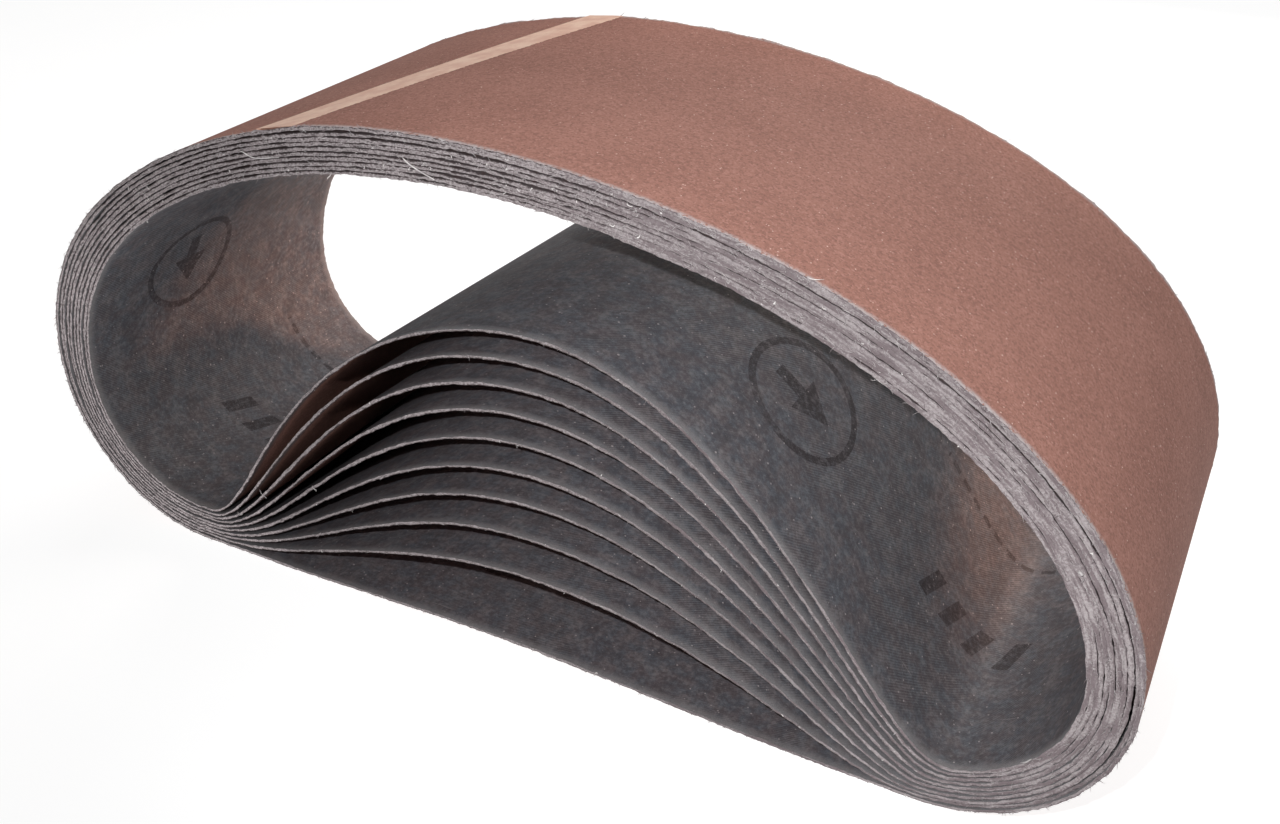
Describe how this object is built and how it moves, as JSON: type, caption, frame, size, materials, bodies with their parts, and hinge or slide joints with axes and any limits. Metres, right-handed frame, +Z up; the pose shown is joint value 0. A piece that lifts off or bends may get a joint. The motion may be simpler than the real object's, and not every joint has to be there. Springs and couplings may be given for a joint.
{
  "type": "nested pack of sanding belts",
  "caption": "Endless cloth sanding belts nested one inside another as a flattened loop, grit side out, with the inner belts' spare length standing up inside as a fan of arches.",
  "frame": {"origin": "on the ground, under the middle of the pack's bounding box", "axes": "+X along the flattened loops, +Y across the belts' width from the front edge to the back edge, +Z up"},
  "size_m": [0.218, 0.076, 0.0984],
  "materials": {
    "grit_face": "matte, fine brown aluminium oxide grit",
    "cloth_backing": "matte, dark grey twill cloth with a faint sheen"
  },
  "bodies": {
    "root": {"belt_01": "grit_face", "belt_02": "cloth_backing", "belt_03": "cloth_backing", "belt_04": "cloth_backing", "belt_05": "cloth_backing", "belt_06": "cloth_backing", "belt_07": "cloth_backing", "belt_08": "cloth_backing", "belt_09": "cloth_backing", "belt_10": "cloth_backing"}
  },
  "joints": []
}
